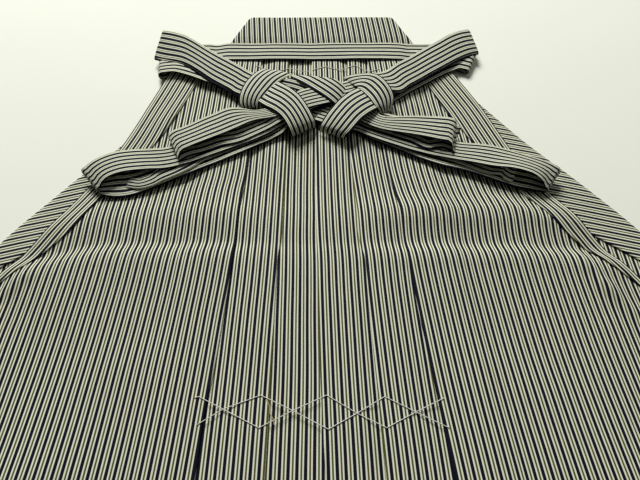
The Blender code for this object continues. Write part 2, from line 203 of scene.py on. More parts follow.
# paintedLightness scales the whole cloth's colour: above 1 it is painted light, below 1 painted shade
def stripedCloth(name, look, paintedLightness=1.0):
    # the mesh attribute "cloth" holds each point's place on the flat cloth,
    # across and along the stripes
    paint = Paint(name)
    place = paint.wire("ShaderNodeAttribute", {"attribute_name": "cloth"}, output=1)
    split = paint.node("ShaderNodeSeparateXYZ", sockets={"Vector": place})
    across = Wire(paint, split.outputs["X"])
    along = Wire(paint, split.outputs["Y"])
    thread = look["thread"]

    def noise(size, detail):
        spot = paint.wire("ShaderNodeCombineXYZ", sockets={"X": across / size[0], "Y": along / size[1]})
        return paint.wire("ShaderNodeTexNoise", sockets={"Vector": spot, "Scale": 1.0, "Detail": detail})

    drift = noise(look["driftSize"], 2.0)
    slub = noise(look["slubSize"], 3.0)
    pick = noise(look["pickSize"], 2.0)
    phase = ((across + (drift - 0.5) * look["wander"]) / look["repeat"]).fract()
    green = paint.wire("ShaderNodeValToRGB", {"stops": stripeStops(look, look["olive"])}, {"Fac": phase})
    warm = paint.wire("ShaderNodeValToRGB", {"stops": stripeStops(look, look["brown"])}, {"Fac": phase})
    turn = [(look["brownFrom"], (0, 0, 0, 1)), (look["brownTo"], (1, 1, 1, 1))]
    browning = paint.wire("ShaderNodeValToRGB", {"stops": turn}, {"Fac": drift})
    colour = paint.mixColours(browning, green, warm)
    # threads catch the light unevenly along and across the cloth; paintedLightness is painted light that
    # makes the whole cloth lighter or darker
    lightness = (slub - 0.5) * look["slubLight"] + (pick - 0.5) * look["pickLight"] + paintedLightness
    toned = paint.wire("ShaderNodeCombineXYZ", sockets={"X": lightness, "Y": lightness, "Z": lightness})
    colour = paint.mixColours(1.0, colour, toned, "MULTIPLY")
    warp = (across * (2 * math.pi / thread)).sine()
    twill = ((across + along) * (math.pi / thread)).sine()
    weave = warp * look["warpShare"] + twill * look["twillShare"] + slub * look["slubShare"]
    bump = paint.wire("ShaderNodeBump", sockets={"Strength": look["bump"], "Distance": look["bumpDepth"],
                                                 "Height": weave})
    shader = paint.wire("ShaderNodeBsdfPrincipled", sockets={
        "Base Color": colour,
        "Roughness": look["roughness"] + (slub - 0.5) * look["roughnessSpread"],
        "Sheen Weight": look["sheen"],
        "Sheen Roughness": look["sheenRoughness"],
        "Specular IOR Level": look["specular"],
        "Normal": bump,
    })
    return paint.finish(shader)


thread = {"white": (0.80, 0.79, 0.70, 1.0), "yellow": (0.55, 0.42, 0.14, 1.0)}


def threadMaterial(name, colour):
    paint = Paint(name)
    where = paint.wire("ShaderNodeTexCoord", output=3)
    strands = paint.wire("ShaderNodeTexNoise", sockets={"Vector": where, "Scale": 2600.0, "Detail": 2.0})
    darker = tuple(value * 0.72 for value in colour[:3]) + (1.0,)
    tint = paint.mixColours(strands, darker, colour)
    bump = paint.wire("ShaderNodeBump", sockets={"Strength": 0.4, "Distance": 0.0001, "Height": strands})
    shader = paint.wire("ShaderNodeBsdfPrincipled", sockets={
        "Base Color": tint, "Roughness": 0.6, "Sheen Weight": 0.2, "Normal": bump})
    return paint.finish(shader)


clothMaterial = stripedCloth("stripedCloth", stripe)
# the ties get painted light (1.05) and the board painted shade (0.93): the same cloth made lighter and
# darker
tieMaterial = stripedCloth("stripedTie", dict(stripe, navyShare=0.49, creamShare=0.19), 1.05)
boardStripe = dict(stripe, repeat=6.2, navyShare=0.43, creamShare=0.19)
boardMaterial = stripedCloth("stripedBoard", boardStripe, 0.93)
whiteThread = threadMaterial("whiteThread", thread["white"])
yellowThread = threadMaterial("yellowThread", thread["yellow"])
print("materials made")


# Shared measures and curves

stack = {
    "step": 1.3,              # from one layer's middle to the next
    "back": 0.5,
    "inside": 1.8,            # facings, gusset and hidden tie roots
    "sheet": 0.7,             # thickness of a shown layer
}


def table(names, *rows):
    # rows of values under the names of their columns
    return [dict(zip(names.split(), row)) for row in rows]


def smooth(value, low, high):
    share = np.clip((np.asarray(value, float) - low) / (high - low), 0.0, 1.0)
    return share * share * (3.0 - 2.0 * share)


def column(rows, name, y):
    rows = sorted(rows, key=lambda row: row["y"])
    return np.interp(y, [row["y"] for row in rows], [row[name] for row in rows])


def softColumn(rows, name, y):
    # as column(), but on a smooth curve through the rows
    rows = sorted(rows, key=lambda row: row["y"])
    places = np.array([row["y"] for row in rows], float)
    values = np.array([row[name] for row in rows], float)
    slopes = np.gradient(values, places)
    y = np.clip(np.asarray(y, float), places[0], places[-1])
    low = np.clip(np.searchsorted(places, y) - 1, 0, len(places) - 2)
    span = places[low + 1] - places[low]
    t = (y - places[low]) / span
    return ((2 * t**3 - 3 * t**2 + 1) * values[low] + (t**3 - 2 * t**2 + t) * span * slopes[low]
            + (3 * t**2 - 2 * t**3) * values[low + 1] + (t**3 - t**2) * span * slopes[low + 1])


def curveThrough(points, count):
    # evenly spaced points on a smooth curve through the given ones
    points = np.array(points, float)
    spans = len(points) - 1
    place = np.linspace(0.0, spans, 40 * spans + 1)
    i = np.minimum(place.astype(int), spans - 1)
    t = (place - i)[:, None]
    a = points[np.maximum(i - 1, 0)]
    b = points[i]
    c = points[i + 1]
    d = points[np.minimum(i + 2, spans)]
    dense = 0.5 * (2 * b + (c - a) * t + (2 * a - 5 * b + 4 * c - d) * t**2
                   + (3 * b - a - 3 * c + d) * t**3)
    reached = np.concatenate([[0.0], np.cumsum(np.linalg.norm(np.diff(dense[:, :2], axis=0), axis=1))])
    even = np.linspace(0.0, reached[-1], count)
    return np.stack([np.interp(even, reached, dense[:, k]) for k in range(dense.shape[1])], 1)


def headings(line):
    ahead = np.gradient(line[:, :2], axis=0)
    return ahead / np.linalg.norm(ahead, axis=1)[:, None]


def ridges(x, y, creases):
    # soft ridges (troughs where height is negative), each between two points, fading at its ends
    total = np.zeros(np.broadcast(x, y).shape)
    for crease in creases:
        (x1, y1), (x2, y2) = crease["start"], crease["stop"]
        length = math.hypot(x2 - x1, y2 - y1)
        u = ((x - x1) * (x2 - x1) + (y - y1) * (y2 - y1)) / length**2
        off = ((x - x1) * (y2 - y1) - (y - y1) * (x2 - x1)) / length
        ends = smooth(u, -0.25, 0.25) * (1.0 - smooth(u, 0.75, 1.25))
        total = total + crease["height"] * ends * np.exp(-(off / crease["spread"])**2)
    return total


def meshFrom(name, points, cloth, material, closed=False):
    rows, columns = points.shape[:2]
    index = np.arange(rows * columns).reshape(rows, columns)
    if closed:
        index = np.concatenate([index, index[:, :1]], 1)
    quads = np.stack([index[:-1, :-1], index[:-1, 1:], index[1:, 1:], index[1:, :-1]], -1).reshape(-1, 4)
    faces = quads.tolist()
    if closed:
        faces += [index[0, :-1][::-1].tolist(), index[-1, :-1].tolist()]
    mesh = bpy.data.meshes.new(name)
    mesh.from_pydata((points.reshape(-1, 3) * mm).tolist(), [], faces)
    place = np.zeros((rows * columns, 3), np.float32)
    place[:, :2] = cloth.reshape(-1, 2)
    mesh.attributes.new("cloth", "FLOAT_VECTOR", "POINT").data.foreach_set("vector", place.ravel())
    mesh.materials.append(material)
    mesh.shade_smooth()
    piece = bpy.data.objects.new(name, mesh)
    bpy.context.scene.collection.objects.link(piece)
    return piece


def addPiece(piece, node):
    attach(piece, "root")
    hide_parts(node)


def makeLayer(node, points, cloth):
    piece = meshFrom(node + "_cloth", points, cloth, clothMaterial)
    wall = piece.modifiers.new("wall", "SOLIDIFY")
    wall.thickness = stack["sheet"] * mm
    wall.offset = 0.0
    addPiece(piece, node)


# The garment's outline

backEdge = table(
    "y left right",
    (401, -127, 131), (351, -163, 166), (287, -199, 210), (236, -239, 251), (185, -275, 288),
    (120, -313, 322), (60, -338, 341), (0, -354, 354), (-120, -368, 368), (-300, -382, 382),
    (-491, -390, 390),
)
frontEdge = table(
    "y left right",
    (430, -157, 131), (409, -162, 139), (373, -172, 155), (340, -181, 169), (274, -201, 192),
    (225, -222, 215), (190, -239, 233), (158, -257, 252), (130, -275, 271), (60, -317, 316),
    (0, -352, 352), (-120, -367, 367), (-300, -381, 381), (-491, -389, 389),
)
folds = table(
    "y outer_left inner_left centre inner_right outer_right",
    (430, -67, -36, -9, 30, 53), (398, -67, -35.5, -8.6, 31, 54.5), (340, -68.5, -35, -6.2, 30, 59),
    (284, -69.7, -34.5, -4.3, 29.8, 63), (246, -71, -34.5, -3.9, 31.3, 66.1),
    (205, -74, -34.5, -3.4, 33.5, 73), (175, -74.6, -34.6, -2.6, 34.5, 75),
    (153, -75.4, -36.8, -1.8, 38.7, 76.5), (127, -76.6, -37.2, -1.5, 39.6, 78.3),
    (102, -78.2, -37.5, -1.0, 40.6, 80.3), (77, -79.8, -37.3, -0.4, 41.7, 83.5),
    (50, -82, -37.4, 0.6, 43, 86), (21, -84.9, -37.6, 1.9, 44.4, 89),
    (-17, -86, -38, 4.1, 45.5, 92.8), (-200, -95, -37.5, 4, 45, 103), (-491, -110, -36, 3, 43, 114),
)
# the middle of one dark stripe on each panel; its other stripes run beside it
stripeLines = table(
    "y outer_left inner_left centre_left centre_right inner_right outer_right",
    (430, -69, -39.5, -25.8, -4.8, 34, 54.5), (398, -69.4, -39.2, -25.6, -4.2, 33.9, 56.4),
    (284, -71, -37.5, -24.5, -2.4, 31.7, 65.0), (246, -72, -37.6, -24.4, -1.8, 34.4, 68.0),
    (222, -74.1, -37.8, -24.3, -1.4, 36.5, 71.3), (205, -74.4, -37.8, -24, -1.0, 37.7, 74.0),
    (173, -74.9, -38.1, -23.8, 0.1, 39, 75.0), (153, -76.1, -38.3, -23.2, 1.1, 40.4, 76.8),
    (127, -78, -39, -22.8, 1.7, 41.5, 79.3), (102, -80.1, -39.8, -22.6, 2.4, 42.8, 81.9),
    (50, -83.5, -41, -21.9, 3.9, 45.8, 86.9), (-17, -87.2, -41.9, -22.1, 6.0, 49.5, 93.9),
    (-200, -96.2, -41.4, -22.1, 8.0, 52, 104.1), (-491, -111.2, -40, -22, 9.0, 54, 115.1),
)
pleats = {
    "outerDepth": 34.0,
    "innerShare": 0.40,
    "centreLap": 26.0,
    "slope": 20.0,
    "top": 430.0,
    "hem": -491.0,
    "rowStep": 5.0,
    "creaseStep": 2.2,        # rows are closer over the storage folds
    "creasesTop": 232.0,
    "creasesFoot": 96.0,
    "panelPoints": 58,
    "betweenPoints": 14,
    "hiddenPoints": 5,
    "turnPoints": 5,
}

# The folds left by storage: heights over the lowest layer, down the left, middle and right
storageFold = table(
    "y left middle right",
    (300, 0.0, 0.0, 0.0), (232, 0.1, 0.0, 0.1), (222, 0.8, 0.3, 1.0), (212, 2.0, 0.8, 3.4),
    (203, 3.4, 1.4, 5.6), (194, 3.7, 1.6, 5.6), (184, 2.6, 1.4, 3.4), (175, 1.3, 0.9, 1.5),
    (168, 0.8, 0.6, 0.8), (163, 2.3, 0.9, 2.2), (158, 4.1, 1.3, 4.2), (151, 4.9, 1.5, 5.1),
    (140, 4.3, 1.4, 4.1), (124, 3.0, 1.0, 2.9), (104, 1.7, 0.7, 1.6), (80, 0.6, 0.3, 0.6),
    (50, 0.0, 0.0, 0.0),
)
foldDrop = table(
    "y drop",
    (-260, 16.0), (-235, 13.0), (-208, 4.0), (-187, 0.0), (180, 0.0), (200, 2.5), (225, 5.0),
    (260, 10.0),
)
frontCreases = table(
    "start stop height spread",
    ((222, 158), (244, 118), 2.2, 5.5), ((206, 148), (232, 104), -1.2, 7.0),
    ((236, 128), (262, 96), 1.6, 6.0), ((-246, 140), (-268, 112), 2.0, 6.0),
    ((-226, 140), (-250, 96), -1.1, 8.0), ((-262, 104), (-286, 60), 1.4, 9.0),
    ((150, 222), (205, 190), 0.9, 5.0), ((-205, 205), (-160, 226), 0.8, 6.0),
    ((118, 60), (190, 30), 0.9, 20.0), ((-190, 44), (-110, 66), 0.8, 22.0),
    ((-300, -40), (-180, -20), 1.2, 24.0), ((170, -50), (310, -30), 1.1, 26.0),
    ((-290, -150), (-130, -170), 1.3, 22.0), ((120, -190), (300, -160), 1.4, 24.0),
    ((-330, -300), (-150, -280), 1.2, 26.0), ((140, -330), (340, -310), 1.3, 22.0),
    ((-60, -120), (-30, -330), 0.5, 14.0), ((-120, 330), (-98, 300), 0.7, 8.0),
    ((84, 345), (128, 322), 0.8, 7.0), ((-142, 352), (-170, 300), 0.8, 9.0),
)


foldReach = {
    "right": (10.0, 90.0),    # x over which the middle's heights turn into the sides'
    "left": (30.0, 100.0),
    "seam": (235.0, 290.0),   # the folds fade where the fronts are sewn to the backs
    "fade": 0.45,
}
frontLevel = {
    "seam": (200.0, 260.0),   # the fronts come down to the backs there
    "leg": (10.0, 80.0),
    "waves": 0.22,
    "lowestWave": -0.1,
    "lowestCrease": -0.4,
}


def storageHeight(x, y):
    level = y + column(foldDrop, "drop", x)
    left = softColumn(storageFold, "left", level)
    middle = softColumn(storageFold, "middle", level)
    right = softColumn(storageFold, "right", level)
    toRight = smooth(x, *foldReach["right"])
    toLeft = smooth(-np.asarray(x), *foldReach["left"])
    height = middle + (right - middle) * toRight + (left - middle) * toLeft
    return height * (1.0 - foldReach["fade"] * smooth(np.abs(x), *foldReach["seam"]))


def pleatCover(x, y):
    left = column(folds, "outer_left", y) - pleats["outerDepth"] - 2.0
    right = column(folds, "outer_right", y) + pleats["outerDepth"] + 2.0
    slope = pleats["slope"]
    return 2.0 * smooth(x, left - slope, left) * (1.0 - smooth(x, right, right + slope))


def frontBase(x, y):
    x = np.asarray(x, float)
    atSeam = smooth(np.abs(x), *frontLevel["seam"]) * (1.0 - smooth(y, *frontLevel["leg"]))
    base = stack["inside"] + stack["step"] * (1.0 - atSeam)
    small = frontLevel["waves"] * np.sin(x / 23.0 + y / 61.0) * np.sin(y / 17.0 + x / 90.0)
    creases = np.maximum(ridges(x, y, frontCreases), frontLevel["lowestCrease"])
    return base + storageHeight(x, y) + creases + np.maximum(small, frontLevel["lowestWave"])


def frontSkin(x, y):
    return frontBase(x, y) + stack["step"] * pleatCover(x, y)


def turnPoints(edge, level, heading):
    # round a fold edge from one layer to the layer below
    angle = math.pi / 2 - math.pi * np.linspace(0.0, 1.0, pleats["turnPoints"])
    radius = stack["step"] / 2
    x = edge - heading * radius + heading * radius * np.cos(angle)
    return list(zip(x, level - 0.5 + 0.5 * np.sin(angle)))


def frontSection(side, y):
    # one row across a front, from the slit to the middle: x, level and place across the stripes
    sign = -1.0 if side == "left" else 1.0
    heading = -sign
    edge = float(softColumn(frontEdge, side, y))
    outer = float(softColumn(folds, "outer_" + side, y))
    inner = float(softColumn(folds, "inner_" + side, y))
    centre = float(softColumn(folds, "centre", y))
    stripes = {name: float(softColumn(stripeLines, name, y))
               for name in ("outer_" + side, "inner_" + side, "centre_" + side)}
    lead = stripe["navyShare"] * stripe["repeat"] / 2
    hidden = pleats["hiddenPoints"]
    between = pleats["betweenPoints"]
    row = []

    def add(places, panel=None):
        # shown panels have their own stripes; a hidden fold carries on from the last point
        for x, level in places:
            across = row[-1][2] + 1.0 if panel is None else x - stripes[panel] + lead
            row.append((x, level, across))

    outerEnd = outer - heading * stack["step"] / 2
    xs = np.linspace(edge, outerEnd, pleats["panelPoints"])
    add([(x, float(pleatCover(x, y))) for x in xs[:-1]], "outer_" + side)
    depth = pleats["outerDepth"]
    add(turnPoints(outer, 2.0, heading), "outer_" + side)
    back = outer - heading * depth
    add([(x, 1.0) for x in np.linspace(outerEnd, back, hidden)[1:-1]])
    add(turnPoints(back, 1.0, -heading))
    depth = abs(outer - inner) * pleats["innerShare"]
    climbEnd = inner - heading * (depth + 2.0)
    innerEnd = inner - heading * stack["step"] / 2
    add([(x, 0.0) for x in np.linspace(back, outer, hidden)[1:-1]], "inner_" + side)
    for x in np.linspace(outer + heading * 1.0, innerEnd, between)[:-1]:
        climb = float(np.clip((x - outer) / (climbEnd - outer), 0.0, 1.0))
        add([(x, 2.0 * climb)], "inner_" + side)
    add(turnPoints(inner, 2.0, heading), "inner_" + side)
    back = inner - heading * depth
    add([(x, 1.0) for x in np.linspace(innerEnd, back, hidden)[1:-1]])
    add(turnPoints(back, 1.0, -heading))
    lapEnd = centre + pleats["centreLap"]
    add([(x, 0.0) for x in np.linspace(back, inner, hidden)[1:-1]], "centre_" + side)
    if side == "left":
        add([(x, 0.0) for x in np.linspace(inner + 1.0, lapEnd - 4.0, between + 6)], "centre_left")
        return row
    climbEnd = lapEnd + 3.0
    for x in np.linspace(inner - 1.0, centre + stack["step"] / 2, between + 6)[:-1]:
        climb = float(np.clip((x - inner) / (climbEnd - inner), 0.0, 1.0))
        add([(x, 2.0 * climb)], "centre_right")
    add(turnPoints(centre, 2.0, heading), "centre_right")
    add([(lapEnd - 4.0, 1.0), (lapEnd, 1.0)])
    return row


def frontRows(top, foot):
    places = [top]
    while places[-1] > foot:
        fine = pleats["creasesFoot"] < places[-1] < pleats["creasesTop"]
        places.append(places[-1] - (pleats["creaseStep"] if fine else pleats["rowStep"]))
    places[-1] = foot
    return np.array(places)


def makeFronts():
    for side in ("left", "right"):
        rows = frontRows(pleats["top"], pleats["hem"])
        section = np.array([frontSection(side, y) for y in rows])
        x = section[:, :, 0]
        y = np.repeat(rows[:, None], x.shape[1], 1)
        lifted = stack["step"] * section[:, :, 1]
        z = frontBase(x, y) + lifted
        cloth = np.stack([section[:, :, 2], y], -1)
        makeLayer("front_" + side, np.stack([x, y, z], -1), cloth)


# The layers below and beside the fronts

back = {"top": 400.7, "rows": 150, "points": 60, "seam": 0.2, "stripeAt": 1.5}


def makeBacks(look):
    rows = np.linspace(look["top"], pleats["hem"], look["rows"])
    for side, sign in (("left", -1.0), ("right", 1.0)):
        edge = softColumn(backEdge, side, rows)
        seam = sign * look["seam"]
        x = seam + (edge[:, None] - seam) * np.linspace(0.0, 1.0, look["points"])
        y = np.repeat(rows[:, None], look["points"], 1)
        z = np.full_like(x, stack["back"])
        cloth = np.stack([np.abs(x) + look["stripeAt"], y], -1)
        makeLayer("back_" + side, np.stack([x, y, z], -1), cloth)


facing = {
    "rows": (dict(y=362, reach=54), dict(y=287, reach=56), dict(y=236, reach=55),
             dict(y=187, reach=51), dict(y=154, reach=29), dict(y=122, reach=5)),
    "left": 15.0,             # degrees the stripes rise towards the middle
    "right": 14.0,
    "waves": 0.25,
    "foldDrop": 0.7,          # the outer edge is the fold, rounded down onto the back
    "foldFrom": 0.93,
    "count": 90,              # of the mesh's rows
    "points": 16,
}


def makeFacings(look):
    rows = np.linspace(look["rows"][0]["y"], look["rows"][-1]["y"], look["count"])
    for side, sign in (("left", -1.0), ("right", 1.0)):
        edge = softColumn(backEdge, side, rows)
        inner = edge - sign * softColumn(look["rows"], "reach", rows)
        share = np.linspace(0.0, 1.0, look["points"])
        x = inner[:, None] + (edge - inner)[:, None] * share
        y = np.repeat(rows[:, None], look["points"], 1)
        z = stack["inside"] + look["waves"] * np.sin(y / 21.0 + x / 14.0)
        z = z - look["foldDrop"] * smooth(share, look["foldFrom"], 1.0)
        angle = math.radians(look[side])
        across = y * math.cos(angle) + sign * x * math.sin(angle)
        along = sign * x * math.cos(angle) - y * math.sin(angle)
        makeLayer("back_slit_facing_" + side, np.stack([x, y, z], -1), np.stack([across, along], -1))


gusset = {
    "rows": table("y half", (66, 8), (-60, 66), (-250, 76), (-489, 84)),
    "count": 40,              # of the mesh's rows
    "points": 12,
}


def makeGusset(look):
    rows = np.linspace(look["rows"][0]["y"], look["rows"][-1]["y"], look["count"])
    x = column(look["rows"], "half", rows)[:, None] * np.linspace(-1.0, 1.0, look["points"])
    y = np.repeat(rows[:, None], look["points"], 1)
    z = np.full_like(x, stack["inside"])
    makeLayer("gusset", np.stack([x, y, z], -1), np.stack([x, y], -1))


sidePleat = {
    "inner": table(
        "y left right",
        (430, -127, 104), (409, -129, 111), (369, -137, 119), (336, -146, 130), (295, -161, 150),
        (250, -186, 174), (211, -208, 198), (180, -223, 218), (157, -242, 237), (130, -266, 263),
        (104, -288, 286),
    ),
    # places where the inner edge stands off the front and shows a dark gap
    "lifts": (dict(x=-212, y=168, height=1.6, spread=9.0), dict(x=-236, y=150, height=1.4, spread=8.0),
              dict(x=222, y=166, height=1.6, spread=9.0), dict(x=168, y=262, height=1.0, spread=16.0),
              dict(x=240, y=146, height=1.2, spread=8.0), dict(x=-150, y=318, height=0.9, spread=18.0)),
    "points": 14,
    "stripeAt": 1.2,
}


def makeSidePleats(look):
    rows = frontRows(pleats["top"], look["inner"][-1]["y"])
    for side, sign in (("left", -1.0), ("right", 1.0)):
        inner = softColumn(look["inner"], side, rows)
        outer = softColumn(frontEdge, side, rows)
        x = inner[:, None] + (outer - inner)[:, None] * np.linspace(0.0, 1.0, look["points"])
        y = np.repeat(rows[:, None], look["points"], 1)
        z = frontSkin(x, y) + stack["step"]
        for lift in look["lifts"]:
            near = np.exp(-((x - lift["x"])**2 + (y - lift["y"])**2) / lift["spread"]**2)
            z = z + lift["height"] * near
        # stripes run along the outer edge
        lean = np.cos(np.arctan(np.gradient(outer, rows)))
        across = (outer[:, None] - x) * sign * lean[:, None] + look["stripeAt"]
        makeLayer("side_pleat_" + side, np.stack([x, y, z], -1), np.stack([across, y], -1))


makeBacks(back)
makeFacings(facing)
makeGusset(gusset)
makeFronts()
makeSidePleats(sidePleat)
print("panels made")


# The back board: cloth over a stiff core, its stripes a little askew

board = {
    "rows": table(
        "y left right top",
        (401.0, -126, 130, 2.2), (440.0, -107, 111, 2.2), (446.0, -104.5, 108.5, 3.4),
        (452.0, -102, 106, 4.2), (470.0, -94.5, 97.5, 4.3), (482.0, -89.5, 92.5, 4.2),
        (487.0, -87.5, 90.5, 4.0), (490.0, -85.0, 88.0, 3.2), (491.0, -83.0, 86.0, 2.2),
    ),
    "askew": 5.0,
    "stripeAt": 1.6,
    "points": 40,
    "rounding": 3.5,
    "bareFrom": 440.0,        # below it the waistband covers the board
    "swell": 0.25,
    "sideShare": 0.45,        # of the height, left at the very sides
    "stretches": ((401.0, 440.0, 8), (443.0, 480.0, 24), (481.5, 491.0, 10)),
}


def makeBoard(look):
    rows = np.concatenate([np.linspace(*stretch) for stretch in look["stretches"]])
    left = column(look["rows"], "left", rows)
    right = column(look["rows"], "right", rows)
    top = column(look["rows"], "top", rows)
    share = (1.0 - np.cos(np.linspace(0.0, math.pi, look["points"]))) / 2
    share = 0.6 * share + 0.4 * np.linspace(0.0, 1.0, look["points"])
    x = left[:, None] + (right - left)[:, None] * share
    y = np.repeat(rows[:, None], look["points"], 1)
    fromSide = np.minimum(x - left[:, None], right[:, None] - x)
    rounded = np.sqrt(np.clip(1.0 - (1.0 - np.clip(fromSide / look["rounding"], 0.0, 1.0))**2, 0.0, 1.0))
    bare = smooth(y, look["bareFrom"], look["bareFrom"] + 10.0)
    swell = look["swell"] * np.sin(x / 31.0) * np.sin((y - look["bareFrom"]) / 24.0) * bare
    height = top[:, None] * (look["sideShare"] + (1.0 - look["sideShare"]) * rounded) + swell * rounded
    upper = np.stack([x, y, height], -1)
    lower = np.stack([x, y, np.zeros_like(x)], -1)[:, ::-1]
    points = np.concatenate([upper, lower], 1)
    angle = math.radians(look["askew"])
    across = points[:, :, 0] * math.cos(angle) + points[:, :, 1] * math.sin(angle) + look["stripeAt"]
    along = points[:, :, 1] * math.cos(angle) - points[:, :, 0] * math.sin(angle)
    piece = meshFrom("back_board_cover", points[::-1], np.stack([across, along], -1)[::-1],
                     boardMaterial, closed=True)
    addPiece(piece, "back_board")


makeBoard(board)
print("back board made")


# Bands: the waistband and every stretch of tie is a flat tube with rounded edges

def bandMesh(name, node, first, second, look, restsOn):
    # first and second are the band's two edges, row by row
    centres = (first + second) / 2
    widths = np.linalg.norm(second - first, axis=1)
    sideways = (second - first) / widths[:, None]
    count = look["points"]
    u = np.sin(np.linspace(-0.5, 0.5, count) * math.pi) * 0.35 + np.linspace(-0.5, 0.5, count) * 0.3
    ahead = np.gradient(centres, axis=0)
    ahead /= np.linalg.norm(ahead, axis=1)[:, None]
    up = np.cross(ahead, sideways)
    up /= np.linalg.norm(up, axis=1)[:, None]
    reached = np.concatenate([[0.0], np.cumsum(np.linalg.norm(np.diff(centres, axis=0), axis=1))])
    half = look["thickness"] / 2 * np.sqrt(np.clip(1.0 - (2.0 * np.abs(u))**8, 0.0, 1.0))
    sag = look["crown"] * (1.0 - (2.0 * u)**2)
    ripple = np.zeros((len(centres), count))
    for wave in look["waves"]:
        along = np.sin(reached / wave["length"] * 2 * math.pi + wave["start"])
        reach = np.clip(1.0 + wave["side"] * 2.0 * u, 0.0, 2.0) / 2
        ripple += wave["height"] * along[:, None] * reach
    middle = centres[:, None] + sideways[:, None] * (u[None, :, None] * widths[:, None, None])
    lift = np.zeros_like(middle)
    lift[:, :, 2] = sag[None] + ripple
    upper = middle + lift + up[:, None] * half[None, :, None]
    lower = middle + lift - up[:, None] * half[None, :, None]
    if up[:, 2].mean() < 0:
        upper, lower = lower, upper
    ring = np.concatenate([upper, lower[:, -2:0:-1]], 1)
    # a band that is pinched keeps all its stripes; a wrap's are cut off where it comes out
    cut = np.maximum.accumulate(widths)
    if look["clothWidth"]:
        cut = np.full(len(centres), look["clothWidth"])
    across = (u + 0.5)[None] * cut[:, None] + look["stripeAt"]
    across = np.concatenate([across, across[:, -2:0:-1]], 1)
    cloth = np.stack([across, np.repeat(reached[:, None], across.shape[1], 1)], -1)
    piece = meshFrom(name, ring[:, ::-1], cloth[:, ::-1], tieMaterial, closed=True)
    addPiece(piece, node)


waistband = {
    "top": 436.0, "foot": 407.0, "left": -161.0, "right": 138.0,
    "lift": 1.8,              # middle of the band over the layer that it is sewn to
    "sway": 0.5,
    "leftEnd": (-128.0, -118.0),    # the side pleats add a layer under the band's ends
    "rightEnd": (98.0, 108.0),
    "points": 17, "thickness": 1.4, "crown": 0.35, "clothWidth": 29.0, "stripeAt": 1.2,
    "waves": (
        dict(length=97.0, start=0.4, height=0.35, side=-1.0),
        dict(length=61.0, start=2.0, height=0.22, side=1.0),
        dict(length=33.0, start=1.1, height=0.10, side=0.0),
    ),
    "rows": 110,
}


def makeWaistband(look):
    x = np.linspace(look["left"], look["right"], look["rows"])
    y = np.full_like(x, (look["top"] + look["foot"]) / 2)
    onSide = np.maximum(1.0 - smooth(x, *look["leftEnd"]), smooth(x, *look["rightEnd"]))
    z = frontSkin(x, y) + stack["step"] * onSide + look["lift"]
    centres = np.stack([x, y + look["sway"] * np.sin(x / 40.0), z], -1)
    half = np.array([0.0, (look["top"] - look["foot"]) / 2, 0.0])
    bandMesh("waistband_cloth", "waistband", centres - half, centres + half, look,
             ["front_left_cloth", "front_right_cloth"])


makeWaistband(waistband)
print("waistband made")


# The front ties, from the arm at the waist to the loops below

